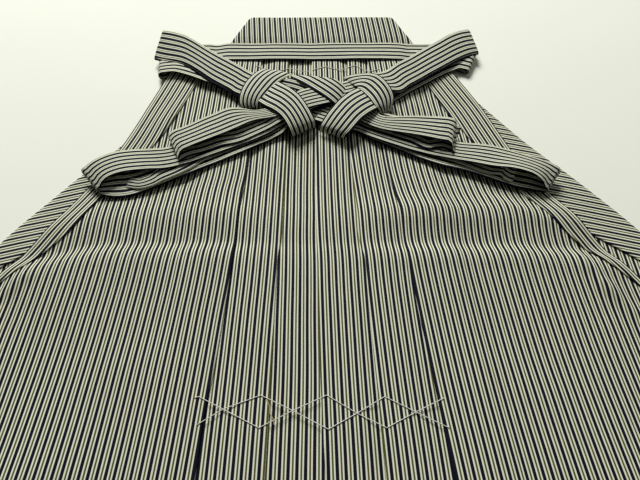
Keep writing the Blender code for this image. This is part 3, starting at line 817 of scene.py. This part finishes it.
# Every layer's rows: its near edge's place, then its far edge's
tieRows = {
    "left": (
        ((-96.8, 362.3, 9.1, -83.2, 385.7, 9.1), (-72.8, 345.3, 9.1, -59.2, 368.7, 9.1),
         (-46.8, 329.3, 9.1, -33.2, 352.7, 9.1), (-16.1, 313, 9.1, -3.9, 337, 9.1),
         (15.2, 300.4, 9.1, 24.8, 325.6, 9.1), (32.4, 297.3, 8.4, 46.7, 321.4, 8.4),
         (46.2, 289.1, 8.1, 60.6, 314.3, 8.1), (61.8, 280.8, 8.2, 76.3, 307.1, 8.2),
         (78.9, 271.2, 8.5, 93.3, 298.6, 8.5), (97.6, 261.3, 8.4, 111.3, 291.3, 8.4),
         (116.1, 253.4, 8.3, 128.9, 286, 8.3), (131.9, 249, 8.2, 144.7, 282.7, 8.2),
         (150, 241.7, 8.2, 163.7, 275, 9.2), (167.5, 233.3, 8.2, 181.3, 266.6, 10.7),
         (181.5, 227.4, 8.2, 193.5, 261.4, 12.2), (196.5, 223.2, 8.4, 205.9, 256.9, 12.4),
         (207.9, 220.6, 8.8, 225.1, 243.2, 10.1)),
        ((208.1, 221.6, 13.6, 224, 245.6, 17.6), (204.1, 225.5, 19.1, 216.6, 249.5, 18.4),
         (195.3, 232.2, 22.1, 205.8, 255, 17.6), (179.3, 238.9, 21.6, 189.2, 264.1, 16),
         (162.5, 243.5, 18.6, 172.8, 272.1, 14.6), (145.6, 250.4, 15.4, 154.2, 276.5, 13.6),
         (130, 256.5, 12.6, 137, 278.9, 13.2), (106.9, 263.4, 11.9, 115.2, 285.4, 12.6),
         (88.1, 269.9, 11.7, 97.3, 293.6, 12.3), (69.2, 278, 11.3, 78.9, 301.4, 12),
         (50, 287.9, 10.5, 61.3, 309.7, 11.3), (34.3, 296.5, 10.3, 45.3, 317.3, 10.7),
         (15.2, 300.4, 10.5, 24.8, 325.6, 10.5), (-16.1, 313, 10.5, -3.9, 337, 10.5),
         (-46.8, 329.3, 10.5, -33.2, 352.7, 10.5), (-72.8, 345.3, 10.5, -59.2, 368.7, 10.5),
         (-86.4, 341.8, 12.2, -73.9, 377.9, 11.7), (-95.5, 348.8, 12.3, -86.2, 385.5, 13.8),
         (-107, 357.2, 12.3, -100.2, 395.5, 14.3), (-118.7, 365.7, 12.3, -114.4, 405.3, 14.7),
         (-131, 376.9, 11.8, -127.2, 415.5, 15.1), (-143.6, 387.8, 10.8, -140.9, 426.4, 15.5),
         (-156.3, 396.6, 9.4, -154.6, 436.2, 15.9), (-176.6, 402.5, 8, -169.1, 442.1, 16.4),
         (-186.6, 406.9, 7.2, -179.2, 443.9, 16.4)),
        ((-186.6, 409.7, 8.5, -179.2, 443.9, 19), (-176.6, 405.3, 9.3, -169.1, 442.1, 19),
         (-156.3, 399.4, 10.7, -154.6, 436.2, 18.5), (-143.6, 390.6, 12.1, -140.9, 426.4, 18.1),
         (-131, 379.7, 13.1, -127.2, 415.5, 17.7), (-118.7, 368.5, 13.6, -114.4, 405.3, 17.3),
         (-107, 360, 13.6, -100.2, 395.5, 16.9), (-95.5, 351.6, 13.6, -86.2, 385.5, 16.4),
         (-86.4, 344.6, 13.5, -73.9, 377.9, 14.3), (-46.8, 329.3, 11.9, -33.2, 352.7, 11.9),
         (-16.1, 313, 11.9, -3.9, 337, 11.9), (15.2, 300.4, 11.9, 24.8, 325.6, 11.9),
         (34.5, 305.1, 12.4, 47.2, 326.6, 12.4), (46.3, 298.1, 12.6, 58.4, 321.2, 12.6),
         (60, 291.6, 13, 72, 316.9, 13), (71.5, 286.7, 13.3, 83.5, 313.2, 13.3),
         (81.1, 282.3, 13.5, 94, 309.3, 13.5), (89.6, 278.5, 13.6, 104.7, 305.6, 13.6),
         (95.1, 274.7, 13.5, 111.9, 303.2, 13.5), (100.6, 270.9, 13.5, 114.2, 303.1, 13.5),
         (106.2, 268.7, 13.6, 112.1, 304.2, 13.6), (113.1, 269.7, 13.9, 115.6, 305.7, 13.9),
         (119.9, 270, 14.2, 128.2, 305, 14.2), (125.3, 267.1, 14.4, 142.5, 298.8, 14.4),
         (129.6, 263.5, 14.6, 138.1, 299.4, 14.8)),
        ((127.8, 265.5, 17.4, 136.8, 303.4, 18.4), (125.9, 271.5, 20.9, 130.7, 305.3, 19.9),
         (115.9, 274, 21.4, 120.4, 306.9, 19.8), (106.8, 277.3, 20.6, 110.6, 308, 19.4),
         (93, 282.1, 19.2, 95.7, 308.9, 18.8), (78.7, 286, 18.3, 81.7, 308.8, 18.3),
         (65.4, 290.6, 17.2, 69.7, 309.5, 17.4), (53.9, 296, 16.2, 61.9, 312, 16.6),
         (43.3, 302.7, 15.2, 55.8, 319.1, 15.9), (32.5, 309.4, 14.4, 47.5, 325.9, 14.9),
         (15.2, 300.4, 13.3, 24.8, 325.6, 13.3), (-5.5, 307.7, 13.3, 5.5, 332.3, 13.3)),
    ),
    "right": (
        ((96.1, 362.2, 9.1, 79.9, 383.8, 9.1), (64.9, 346.4, 14.8, 55.1, 371.6, 14.8),
         (34.4, 334.2, 14.8, 25.6, 359.8, 14.8), (3.8, 324, 14.8, -3.8, 350, 14.8),
         (-23.9, 316.1, 14.8, -32.1, 341.9, 14.8), (-34.1, 294.8, 12.5, -49.2, 317.2, 12.5),
         (-45, 287.4, 9.7, -59.8, 311.2, 9.7), (-60.6, 278.6, 8.7, -75.8, 304.5, 8.7),
         (-78.6, 268, 8.8, -94.2, 295.9, 8.8), (-96.2, 258.4, 8.6, -112.6, 288.2, 8.6),
         (-110.9, 250.7, 8.4, -127.6, 281.5, 8.4), (-127, 241.6, 8.3, -144.3, 273.2, 8.3),
         (-144.6, 232.1, 8.2, -161.3, 264.1, 9.2), (-161.8, 222.7, 8.2, -176, 255.9, 10.7),
         (-178.3, 216.3, 8.2, -186.6, 251.3, 12.2), (-190.9, 214.6, 8.4, -191.4, 250.6, 12.4),
         (-200.4, 216.6, 9, -222.7, 241.4, 10.1)),
        ((-203.2, 222, 14.6, -222.4, 244.2, 17.1), (-199.8, 225.9, 18.6, -216.6, 249.8, 18.6),
         (-194, 231, 19.8, -208.7, 256.3, 18.4), (-181.9, 237.1, 18.4, -196.7, 263.9, 16.6),
         (-164, 241.8, 15.6, -182.5, 267.9, 15.1), (-147, 244.5, 14, -166.6, 269.5, 14.2),
         (-133.7, 249.2, 13, -151.5, 271.4, 13.5), (-120.3, 254.9, 12.3, -137.1, 278.7, 12.7),
         (-106.7, 261.6, 12, -122.4, 286.8, 12.5), (-88.1, 270.9, 12, -102.6, 296.9, 12.4),
         (-69.2, 280, 12, -82.2, 305.5, 12.7), (-50.9, 290.4, 12.5, -63.4, 314.3, 13.3),
         (-35.2, 300.8, 14, -48.3, 321.7, 14.7), (3.8, 324, 16.3, -3.8, 350, 16.3),
         (34.4, 334.2, 16.3, 25.6, 359.8, 16.3), (64.9, 346.4, 16.3, 55.1, 371.6, 16.3),
         (84.4, 345.5, 13.7, 71.1, 378.9, 13.8), (96, 355.7, 13.1, 83.8, 389.5, 14.4),
         (107.7, 364.7, 12.7, 96.6, 398.4, 14.5), (119.5, 373.7, 12.4, 109.8, 409, 14.7),
         (131.6, 382.8, 12, 122.6, 418.8, 14.9), (144.1, 392.7, 11.4, 135, 427.9, 14.9),
         (156.7, 402.2, 10.8, 147.6, 437.9, 15.2), (169.3, 409.5, 10, 159.9, 444.2, 15.4),
         (179.1, 413.1, 9.2, 170.6, 446.6, 15.4)),
        ((179.1, 415.7, 10.5, 170.6, 446.6, 18), (169.3, 412.1, 11.3, 159.9, 444.2, 18),
         (156.7, 404.8, 12.1, 147.6, 437.9, 17.8), (144.1, 395.3, 12.7, 135, 427.9, 17.5),
         (131.6, 385.4, 13.3, 122.6, 418.8, 17.5), (119.5, 376.3, 13.7, 109.8, 409, 17.3),
         (107.7, 367.3, 14, 96.6, 398.4, 17.1), (96, 358.3, 14.4, 83.8, 389.5, 17),
         (84.4, 348.1, 15, 71.1, 378.9, 16.4), (64.9, 346.4, 17.9, 55.1, 371.6, 17.9),
         (34.4, 334.2, 17.9, 25.6, 359.8, 17.9), (3.8, 324, 17.9, -3.8, 350, 17.9),
         (-34.2, 304.3, 17.4, -47.1, 325.8, 17.4), (-49, 295.4, 15, -62.7, 318.7, 15),
         (-63.5, 287, 14, -77.6, 312.4, 14), (-77.8, 278.7, 13.9, -90.8, 306.8, 13.9),
         (-87.3, 275.2, 13.8, -99.7, 305.8, 13.8), (-95.9, 272.8, 13.8, -109, 305.2, 13.8),
         (-105.1, 268, 13.8, -119.1, 301.2, 13.8), (-114.3, 263.8, 13.9, -128.5, 296.9, 13.9),
         (-123.5, 261.1, 14.2, -140.2, 293.1, 14.2), (-129.7, 257.3, 14.6, -151.1, 286.2, 14.6),
         (-133.7, 252.9, 15, -147.4, 280, 15.6)),
        ((-134.8, 255.2, 17.8, -148.6, 284.5, 19.2), (-131.9, 260.3, 21.2, -144.4, 288, 20.4),
         (-124.2, 264.6, 22, -137, 291.5, 20.6), (-115.4, 269.9, 21.7, -128, 297.1, 20.2),
         (-106.5, 275.5, 21.2, -118.1, 304.4, 19.8), (-96.5, 281.5, 20.7, -106.9, 311.5, 19.6),
         (-86.5, 287.8, 20.3, -96.5, 318.4, 19.5), (-78.1, 293.3, 19.9, -88.1, 320.4, 19.2),
         (-69.7, 299.3, 19.4, -77.9, 319.3, 18.7), (-61, 303.2, 19.1, -67.1, 317.3, 18.3),
         (-52.1, 304.9, 19.2, -56.5, 319.3, 18.4), (-40.2, 308.5, 19.4, -44, 325.2, 19),
         (-13.9, 318.1, 19.4, -22.1, 343.9, 19.4), (9.8, 326, 19.4, 2.2, 352, 19.4)),
    ),
    "left_inner": (
        ((101.9, 268, 10.2, 110.4, 286.1, 10.5), (116.7, 261, 10.2, 124.9, 279.3, 10.5),
         (132.2, 254.7, 10.3, 140.2, 271.9, 10.8), (143.9, 249.1, 10.4, 150.7, 263.5, 12.4),
         (154.4, 243.4, 10.6, 159.3, 255.4, 14.1), (163.3, 240.2, 10.8, 167.7, 250.3, 15.8),
         (170.4, 239, 11.6, 175.1, 247.8, 17.6), (174.3, 233.5, 11, 179.3, 242.1, 19),
         (180.5, 231, 10.4, 184.2, 240.3, 19.4)),
    ),
    "right_inner": (
        ((-86.9, 275.6, 10.4, -96.8, 292.9, 10.6), (-100.8, 267.5, 10.3, -112.3, 283.9, 10.5),
         (-112.4, 258.1, 10.3, -124.6, 273.9, 10.6), (-123.6, 247.9, 10.3, -135, 263.1, 10.8),
         (-135.8, 239.7, 10.3, -145.2, 253.8, 11.1), (-148, 233, 10.4, -155.6, 245.9, 11.4),
         (-154.6, 228.2, 10.5, -160.5, 239.9, 11.5), (-161.6, 225.2, 10.6, -165.3, 236.7, 11.6),
         (-167.8, 223.7, 10.6, -168.9, 234.7, 11.6), (-174.4, 224, 10.5, -173.6, 235, 11.5),
         (-181.3, 225.4, 10.5, -179.1, 236.2, 11.3)),
    ),
    "left_knot_inner": (
        ((-46.9, 357.2, 14, -47, 363.6, 16.5), (-38.3, 354.9, 14, -38.5, 364.4, 17.2),
         (-29.7, 352.2, 14.4, -28.9, 366.2, 17.6), (-21.1, 348, 14.8, -19.2, 361.9, 18),
         (-12.6, 343.3, 15, -9.5, 352.5, 18.2), (-4.2, 336.6, 15, 0, 343.3, 18.4)),
    ),
}

frontTies = {
    "waves": {
        "left": (
            dict(length=71.0, start=0.9, height=0.28, side=-1.0),
            dict(length=47.0, start=2.4, height=0.20, side=1.0),
            dict(length=29.0, start=0.2, height=0.10, side=0.0),
        ),
        "right": (
            dict(length=66.0, start=1.7, height=0.28, side=-1.0),
            dict(length=52.0, start=0.6, height=0.18, side=1.0),
            dict(length=27.0, start=2.2, height=0.10, side=0.0),
        ),
    },
    "stripeAt": {"left": 0.7, "right": 1.0, "left_inner": 2.6, "right_inner": 3.4,
                 "left_knot_inner": 0.9},
    "clothWidth": 36.0,
    "spacing": 4.0,
    "points": 13,
    "thickness": 1.0,
    "crown": 0.25,
    "turnRows": 9,
}


def turnRows(lowRow, highRow, away, count):
    # rows round a loop's end; a row is its near edge and its far edge
    angles = -math.pi / 2 + math.pi * np.arange(1, count) / count
    rows = []
    for angle in angles:
        share = (1.0 + math.sin(angle)) / 2
        row = lowRow + (highRow - lowRow) * share
        radius = np.abs(highRow[:, 2] - lowRow[:, 2]) / 2
        row = row + np.outer(radius * math.cos(angle), np.append(away, 0.0))
        rows.append(row)
    return rows


def tieEdges(part, look):
    rows = []
    outward = None
    for layer in tieRows[part]:
        centres = (np.array(layer)[:, :3] + np.array(layer)[:, 3:]) / 2
        length = np.linalg.norm(np.diff(centres, axis=0), axis=1).sum()
        block = curveThrough(layer, max(6, round(length / look["spacing"]))).reshape(-1, 2, 3)
        if rows:
            rows += turnRows(rows[-1], block[0], outward, look["turnRows"])
        rows += list(block)
        outward = headings(block.mean(1))[-1]
    return np.array(rows)


def makeFrontTies(look):
    for part in tieRows:
        side = part.split("_")[0]
        edges = tieEdges(part, look)
        band = dict(look, waves=look["waves"][side], stripeAt=look["stripeAt"][part])
        if part.endswith("inner"):
            band["clothWidth"] = None
        bandMesh("front_tie_" + part + "_cloth", "front_tie_" + side, edges[:, 0], edges[:, 1], band,
                 ["front_" + side + "_cloth"])


makeFrontTies(frontTies)
print("front ties made")


# The back ties: out from under the front's corners, folded over, then wound over the knot

backTies = {
    "start": {"left": (-136, 423), "right": (140, 424)},
    "line": {
        "left": ((-177, 399), (-160, 401), (-140, 395), (-113, 382), (-87, 366), (-66, 352)),
        "right": ((170, 407), (155, 411), (138, 404), (113, 388), (85, 368), (66, 353)),
    },
    "low": 1.8, "nearHigh": 11.0, "farHigh": 6.8, "width": 36.0, "clothWidth": 36.0,
    "points": 13, "thickness": 1.0, "crown": 0.15, "stripeAt": 1.6,
    "lowRows": 14, "turnRows": 8, "topRows": 36,
    "waves": (dict(length=43.0, start=0.5, height=0.12, side=-1.0),),
}


def makeBackTies(look):
    for side in ("left", "right"):
        over = curveThrough(look["line"][side], look["topRows"])
        inward = headings(over)
        fold = over[0]
        start = np.array(look["start"][side], float)
        out = (fold - start) / np.linalg.norm(fold - start)
        rows = []
        for share in np.linspace(0.0, 1.0, look["lowRows"]):
            blend = float(smooth(share, 0.0, 1.0))
            ahead = out + (-inward[0] - out) * blend
            ahead /= np.linalg.norm(ahead)
            spot = start + (fold - start) * share
            across = np.array([-ahead[1], ahead[0]]) * look["width"] / 2
            rows.append([np.append(spot - across, look["low"]), np.append(spot + across, look["low"])])
        top = []
        for spot, ahead in zip(over, inward):
            across = np.array([ahead[1], -ahead[0]]) * look["width"] / 2
            top.append(np.array([np.append(spot - across, look["farHigh"]),
                                 np.append(spot + across, look["nearHigh"])]))
        rows = [np.array(row) for row in rows]
        rows += turnRows(rows[-1], top[0], -inward[0], look["turnRows"])
        edges = np.array(rows + top)
        bandMesh("back_tie_" + side + "_cloth", "back_tie_" + side, edges[:, 0], edges[:, 1], look,
                 ["front_" + side + "_cloth"])


# Each row of a wrap: x and y of its first edge, x and y of the other, z of both.
# The stripes run beside the first edge.
wraps = {
    "routes": {
        "back_tie_left_wrap": (
            (-63.6, 384.3, -29.4, 376.3, 13), (-68.1, 376.7, -33.3, 369.3, 17),
            (-75.6, 364.6, -41.4, 360, 19), (-80.9, 351, -49.7, 347.3, 19.5),
            (-83.6, 338.6, -57, 335.7, 18.6), (-83.8, 330.2, -60.5, 328.7, 15.6),
            (-81.9, 325.8, -60.1, 325.1, 12.2),
        ),
        "back_tie_left_lower_wrap": (
            (-46.9, 362.5, -63.9, 329.6, 17.5), (-38.8, 353.1, -55.8, 320.2, 21),
            (-30.2, 345.8, -47.3, 313.3, 22.2), (-21.6, 336.2, -39.9, 306.4, 22.2),
            (-14.3, 324.3, -34.7, 298.6, 21.2), (-8.1, 312.4, -31.2, 292, 19),
            (-4, 304, -28.8, 287.8, 15), (-3.6, 303.1, -28.1, 288.9, 9.5),
        ),
        "back_tie_middle_wrap": (
            (-31.2, 368.3, -29.8, 373.8, 14.5), (-24.4, 360.4, -19.3, 369.2, 18),
            (-15.8, 352.2, -8.5, 365.5, 20.2), (-7.3, 344.2, 2.1, 363.1, 21.2),
            (1, 336.6, 11.6, 361, 21.4), (8.2, 330.6, 19, 358.1, 20.6),
            (14.4, 325.6, 25.8, 352.8, 18.6), (18.5, 321.7, 31.6, 346.5, 15.5),
        ),
        "back_tie_right_wrap": (
            (24.7, 369, 25.7, 364.8, 15.5), (34.2, 368.7, 31.7, 356.4, 18.8),
            (44.7, 368.4, 38.6, 346.9, 21.2), (55.3, 367.8, 44.4, 338.8, 22.2),
            (63.4, 363.2, 49.6, 330.7, 22.6), (70.3, 354.3, 53.9, 323.1, 22),
            (75, 344.9, 57.1, 318.8, 20.3), (77.2, 336.4, 59.6, 317.7, 17.3),
            (75.6, 328.2, 61.8, 317.5, 14), (72.4, 322.2, 63.3, 317.9, 11.5),
        ),
        "back_tie_right_lower_wrap": (
            (44.4, 354.8, 63.5, 322.4, 17.5), (37.5, 345.9, 56, 314.9, 21),
            (28.9, 338.7, 48.5, 307.7, 22.3), (20.5, 330.2, 41.2, 300.8, 22),
            (13.2, 320.3, 35.6, 293.7, 20.9), (6, 309.7, 30.5, 287.6, 19),
            (0, 299.6, 25.7, 284.4, 15.3), (-1.5, 297.7, 25, 286.2, 9.5),
        ),
    },
    "clothWidth": None, "points": 17, "thickness": 1.0, "crown": 1.3, "stripeAt": 0.9,
    "waves": (dict(length=38.0, start=0.5, height=0.15, side=-1.0),
              dict(length=27.0, start=1.8, height=0.12, side=1.0)),
    "rows": 44,
}


def makeWraps(look):
    for name, route in look["routes"].items():
        first, second = (curveThrough([row[k:k + 2] + row[4:] for row in route], look["rows"])
                         for k in (0, 2))
        bandMesh(name + "_cloth", name, first, second, look,
                 ["front_tie_left_cloth", "front_tie_right_cloth"])


makeBackTies(backTies)
makeWraps(wraps)
print("back ties made")


# Basting threads that hold the pleats for storage

basting = {
    "upperRow": ((-93, 34), (-90, 35), (-71, 26), (-44, 13), (-20, 25), (5, 36), (27, 23), (48, 13),
                 (70, 24), (92, 34)),
    "lowerRow": ((-89, 15), (-71, 26), (-44, 36), (-20, 25), (6, 12), (27, 23), (48, 35), (70, 24),
                 (93, 13)),
    "waistRow": ((-72, 399), (-55, 387), (-33, 394), (-16, 388), (6, 397), (22, 391), (39, 399), (55, 389),
                 (66, 393)),
    "yellowEnd": ((-39.5, 33), (-37, 28), (-36.5, 23), (-34, 19), (-33, 15)),
    "radius": 0.33,
    "above": 0.85,            # from the top layer's middle to the thread's
}


def threadAlong(name, points, radius, material):
    # a many-sided tube along points that are given in millimetres
    points = np.array(points, float)
    ahead = np.gradient(points, axis=0)
    ahead /= np.linalg.norm(ahead, axis=1)[:, None]
    side = np.cross(ahead, [0.0, 0.0, 1.0])
    side /= np.linalg.norm(side, axis=1)[:, None]
    up = np.cross(side, ahead)
    angle = np.linspace(0.0, 2 * math.pi, 6, endpoint=False)
    ring = (points[:, None] + radius * (side[:, None] * np.cos(angle)[None, :, None]
                                        + up[:, None] * np.sin(angle)[None, :, None]))
    piece = meshFrom(name, ring, np.zeros(ring.shape[:2] + (2,)), material, closed=True)
    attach(piece, "root")


def makeBasting(look):
    for name, corners, material in (("basting_thread_upper", look["upperRow"], whiteThread),
                                    ("basting_thread_lower", look["lowerRow"], whiteThread),
                                    ("basting_thread_waist", look["waistRow"], whiteThread),
                                    ("yellow_thread_end", look["yellowEnd"], yellowThread)):
        points = []
        for (x1, y1), (x2, y2) in zip(corners, corners[1:]):
            share = np.arange(0.0, 1.0, 2.0 / max(math.dist((x1, y1), (x2, y2)), 4.0))
            points += [(x1 + (x2 - x1) * s, y1 + (y2 - y1) * s) for s in share]
        points.append(corners[-1])
        flat = np.array(points, float)
        height = frontSkin(flat[:, 0], flat[:, 1]) + look["above"]
        threadAlong(name, np.column_stack([flat, height]), look["radius"], material)


makeBasting(basting)
print("basting threads made")


# Pale floor and soft studio light

studio = {
    "floorSize": 6.0,
    "floorColour": (0.85, 0.865, 0.745, 1.0),
    "skyColour": (0.97, 0.99, 1.0, 1.0),
    "skyStrength": 0.05,
    "keyPlace": (-0.5, 2.2, 1.75),
    "keySize": 1.1,
    "keyPower": 94.0,
    "fillPlace": (1.0, 0.5, 1.6),
    "fillSize": 1.4,
    "fillPower": 3.2,
}


def makeFloor(look):
    paint = Paint("paleFloor")
    where = paint.wire("ShaderNodeTexCoord", output=3)
    weave = paint.wire("ShaderNodeTexNoise", sockets={"Vector": where, "Scale": 3.0, "Detail": 3.0})
    darker = tuple(value * 0.95 for value in look["floorColour"][:3]) + (1.0,)
    shader = paint.wire("ShaderNodeBsdfPrincipled", sockets={
        "Base Color": paint.mixColours(weave, darker, look["floorColour"]), "Roughness": 0.9})
    half = look["floorSize"] / 2 / mm
    across = np.array([[-half, half], [-half, half]])
    points = np.stack([across, across.T, np.full((2, 2), -0.05)], -1)
    floor = meshFrom("floor", points, points[:, :, :2], paint.finish(shader))


def addLight(name, place, size, power):
    light = bpy.data.lights.new(name, "AREA")
    light.size = size
    light.energy = power
    holder = bpy.data.objects.new(name, light)
    holder.location = place
    x, y, z = place
    holder.rotation_euler = (math.atan2(math.hypot(x, y), z), 0.0, math.atan2(x, -y))
    bpy.context.scene.collection.objects.link(holder)


def makeStudio(look):
    makeFloor(look)
    bpy.context.scene.view_settings.view_transform = "Standard"
    world = bpy.data.worlds.new("studio")
    bpy.context.scene.world = world
    world.use_nodes = True
    sky = world.node_tree.nodes["Background"]
    sky.inputs["Color"].default_value = look["skyColour"]
    sky.inputs["Strength"].default_value = look["skyStrength"]
    addLight("key", look["keyPlace"], look["keySize"], look["keyPower"])
    addLight("fill", look["fillPlace"], look["fillSize"], look["fillPower"])


makeStudio(studio)
print("studio lit")
